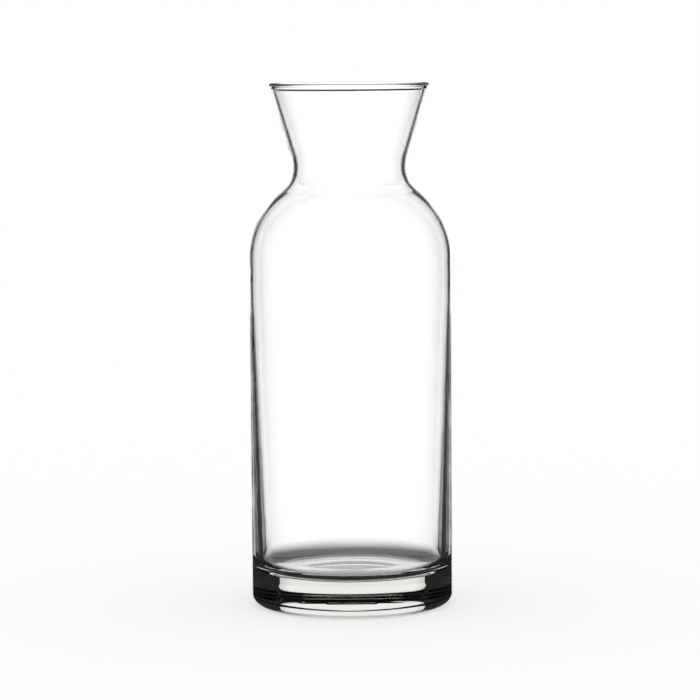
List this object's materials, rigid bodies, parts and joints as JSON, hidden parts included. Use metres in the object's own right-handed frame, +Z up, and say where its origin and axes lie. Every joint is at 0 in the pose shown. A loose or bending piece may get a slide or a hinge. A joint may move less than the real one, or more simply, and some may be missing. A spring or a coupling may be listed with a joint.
{
  "type": "water carafe",
  "caption": "Clear glass carafe with a straight round body, a heavy base, a narrow waist and a flared mouth with a beaded rim, for serving water.",
  "frame": {"origin": "centre of the base, on the surface that the carafe stands on", "axes": "+Z up along the carafe's axis of revolution, from the base to the mouth; X and Y are level and equal, because the glass is round"},
  "size_m": [0.092, 0.092, 0.2374],
  "materials": {
    "clear_glass": "polished clear soda-lime glass"
  },
  "bodies": {
    "root": {"glass_carafe": "clear_glass"}
  },
  "joints": []
}
